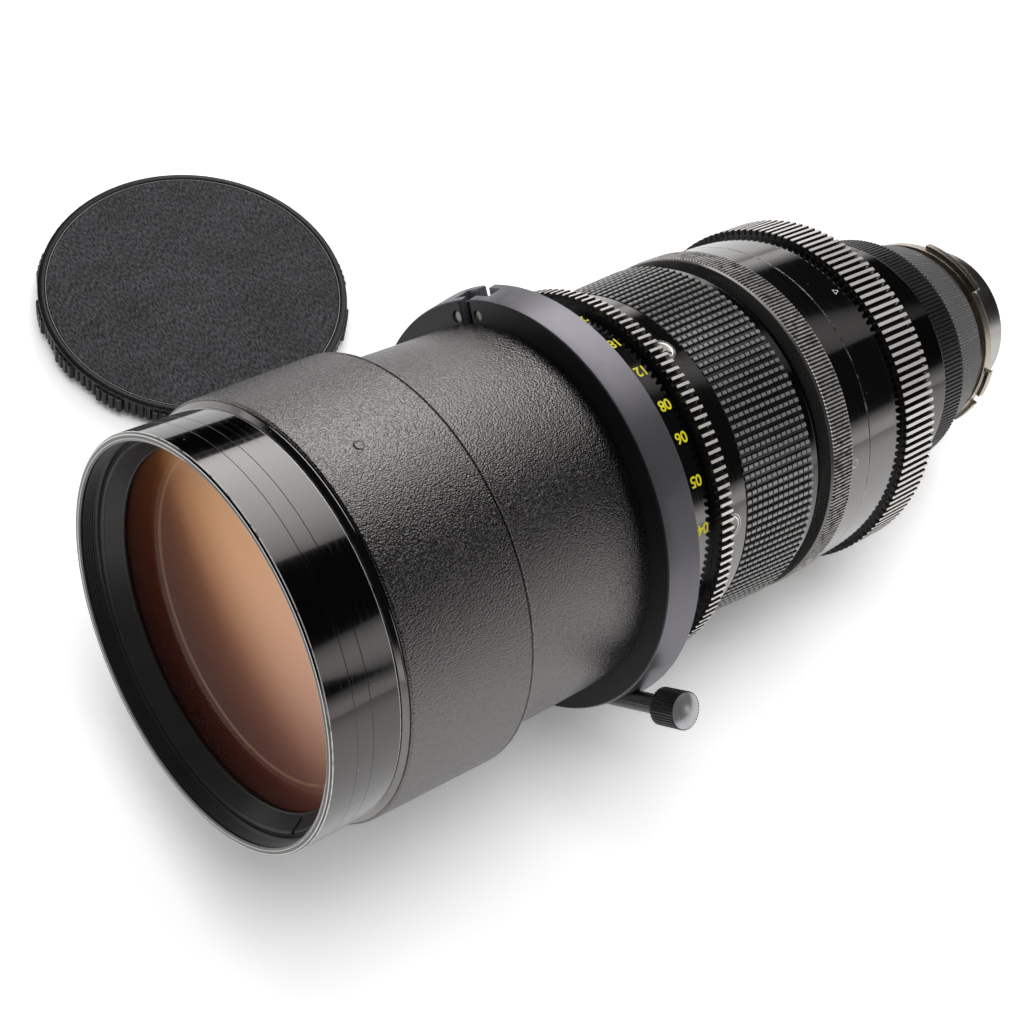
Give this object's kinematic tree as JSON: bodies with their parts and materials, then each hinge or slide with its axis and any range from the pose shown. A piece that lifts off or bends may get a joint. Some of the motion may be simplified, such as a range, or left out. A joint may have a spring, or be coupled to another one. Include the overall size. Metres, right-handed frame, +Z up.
{
  "type": "cinema zoom lens",
  "caption": "Long-range cinema zoom lens with geared focus and zoom rings, iris ring, split support collar with clamp screw and foot, bayonet rear mount, and its front cap.",
  "frame": {"origin": "centre of the support foot's pad, at the mouth of its threaded bush", "axes": "+Z up, square to the floor the lens lies on; +Y towards the camera end, the optical axis falling 10 degrees below it; +X towards the clamp knob's flank"},
  "size_m": [0.2913, 0.3305, 0.1527],
  "materials": {
    "gloss_black": "gloss black enamel over turned aluminium",
    "textured_black": "black wrinkle finish",
    "slate": "satin slate-grey anodised",
    "black_anodised": "satin black anodised",
    "mount_metal": "bright nickel, worn",
    "tube_metal": "bright satin",
    "screw_steel": "blackened steel, worn bright at its rims",
    "rod_steel": "polished black steel",
    "knob_cap": "satin silver",
    "coated_glass": "multi-coated glass",
    "inner_black": "matt black",
    "bright_ring": "bright turned",
    "blade_steel": "blued thin steel",
    "brass": "turned brass",
    "cap_plastic": "satin black moulded",
    "cap_cloth": "charcoal grained covering"
  },
  "bodies": {
    "lens_body": {"front_ring": "gloss_black", "name_ring": "gloss_black", "front_glass": "coated_glass", "spacer_ring": "bright_ring", "second_glass": "coated_glass", "front_cell": "inner_black", "groove_ring": "black_anodised", "front_barrel": "textured_black", "barrel_screws": "screw_steel", "mid_barrel": "textured_black", "main_tube": "inner_black", "collar_upper": "slate", "collar_lower": "slate", "collar_link": "black_anodised", "collar_pins": "screw_steel", "foot_bush": "brass", "middle_band": "gloss_black", "rear_cell": "inner_black", "rear_glass": "coated_glass", "rear_housing": "gloss_black", "iris_housing": "inner_black", "iris_cover": "inner_black", "scale_ring": "black_anodised", "mount_flange": "mount_metal", "mount_screws": "screw_steel", "rear_tube": "tube_metal"},
    "focus_ring": {"scale_band": "gloss_black", "focus_sleeve": "gloss_black", "focus_screws": "screw_steel", "focus_gear": "black_anodised", "focus_grip": "black_anodised"},
    "focus_group": {"focus_cell": "inner_black", "focus_glass": "coated_glass"},
    "zoom_ring": {"zoom_drum": "gloss_black", "zoom_screws": "screw_steel", "knurled_ring": "black_anodised", "zoom_gear": "black_anodised", "cam_drum": "inner_black"},
    "variator": {"variator_cell": "inner_black", "variator_glass": "coated_glass"},
    "compensator": {"compensator_cell": "inner_black", "compensator_glass": "coated_glass"},
    "iris_ring": {"iris_ring": "black_anodised"},
    "clamp_screw": {"clamp_rod": "rod_steel", "clamp_knob": "black_anodised", "knob_cap": "knob_cap"},
    "front_cap": {"cap_shell": "cap_plastic", "cap_rim": "bright_ring", "cap_inlay": "cap_cloth"},
    "iris_blade_1": {"iris_blade_1": "blade_steel"},
    "iris_blade_2": {"iris_blade_2": "blade_steel"},
    "iris_blade_3": {"iris_blade_3": "blade_steel"},
    "iris_blade_4": {"iris_blade_4": "blade_steel"},
    "iris_blade_5": {"iris_blade_5": "blade_steel"},
    "iris_blade_6": {"iris_blade_6": "blade_steel"}
  },
  "joints": [
    {"name": "focus_turn", "type": "hinge", "parent": "lens_body", "child": "focus_ring", "pos_m": [0, 0.04838, 0.06906], "axis": [0, 0.9848, -0.1736], "range_deg": [-60, 200]},
    {"name": "focus_travel", "type": "slide", "parent": "lens_body", "child": "focus_group", "axis": [0, 0.9848, -0.1736], "range_m": [-0.00461, 0.01536]},
    {"name": "zoom_turn", "type": "hinge", "parent": "lens_body", "child": "zoom_ring", "pos_m": [0, 0.11032, 0.05814], "axis": [0, 0.9848, -0.1736], "range_deg": [0, 120]},
    {"name": "variator_travel", "type": "slide", "parent": "lens_body", "child": "variator", "axis": [0, 0.9848, -0.1736], "range_m": [0, 0.06]},
    {"name": "compensator_travel", "type": "slide", "parent": "lens_body", "child": "compensator", "axis": [0, 0.9848, -0.1736], "range_m": [-0.015, 0]},
    {"name": "iris_turn", "type": "hinge", "parent": "lens_body", "child": "iris_ring", "pos_m": [0, 0.16759, 0.04804], "axis": [0, 0.9848, -0.1736], "range_deg": [0, 70]},
    {"name": "blade_1_swing", "type": "hinge", "parent": "lens_body", "child": "iris_blade_1", "pos_m": [0.0244, 0.17251, 0.04717], "axis": [0, -0.9848, 0.1736], "range_deg": [0, 32]},
    {"name": "blade_2_swing", "type": "hinge", "parent": "lens_body", "child": "iris_blade_2", "pos_m": [0.0122, 0.17707, 0.06783], "axis": [0, -0.9848, 0.1736], "range_deg": [0, 32]},
    {"name": "blade_3_swing", "type": "hinge", "parent": "lens_body", "child": "iris_blade_3", "pos_m": [-0.0122, 0.17795, 0.06767], "axis": [0, -0.9848, 0.1736], "range_deg": [0, 32]},
    {"name": "blade_4_swing", "type": "hinge", "parent": "lens_body", "child": "iris_blade_4", "pos_m": [-0.0244, 0.17517, 0.0467], "axis": [0, -0.9848, 0.1736], "range_deg": [0, 32]},
    {"name": "blade_5_swing", "type": "hinge", "parent": "lens_body", "child": "iris_blade_5", "pos_m": [-0.0122, 0.17239, 0.02574], "axis": [0, -0.9848, 0.1736], "range_deg": [0, 32]},
    {"name": "blade_6_swing", "type": "hinge", "parent": "lens_body", "child": "iris_blade_6", "pos_m": [0.0122, 0.17328, 0.02558], "axis": [0, -0.9848, 0.1736], "range_deg": [0, 32]},
    {"name": "clamp_turn", "type": "hinge", "parent": "lens_body", "child": "clamp_screw", "pos_m": [0.07386, 0.01254, 0.07111], "axis": [0.6756, 0.128, 0.7261], "continuous": true},
    {"name": "cap_lift", "type": "slide", "parent": "lens_body", "child": "front_cap", "axis": [0, 0, 1], "range_m": [0, 0.1]}
  ],
  "couplings": [
    {"joint": "focus_travel", "follows": "focus_turn", "m_per_rad": 0.0044},
    {"joint": "variator_travel", "follows": "zoom_turn", "m_per_rad": 0.028648},
    {"joint": "compensator_travel", "follows": "zoom_turn", "m_per_rad": -0.007162},
    {"joint": "blade_1_swing", "follows": "iris_turn", "ratio": 0.45714},
    {"joint": "blade_2_swing", "follows": "iris_turn", "ratio": 0.45714},
    {"joint": "blade_3_swing", "follows": "iris_turn", "ratio": 0.45714},
    {"joint": "blade_4_swing", "follows": "iris_turn", "ratio": 0.45714},
    {"joint": "blade_5_swing", "follows": "iris_turn", "ratio": 0.45714},
    {"joint": "blade_6_swing", "follows": "iris_turn", "ratio": 0.45714}
  ]
}
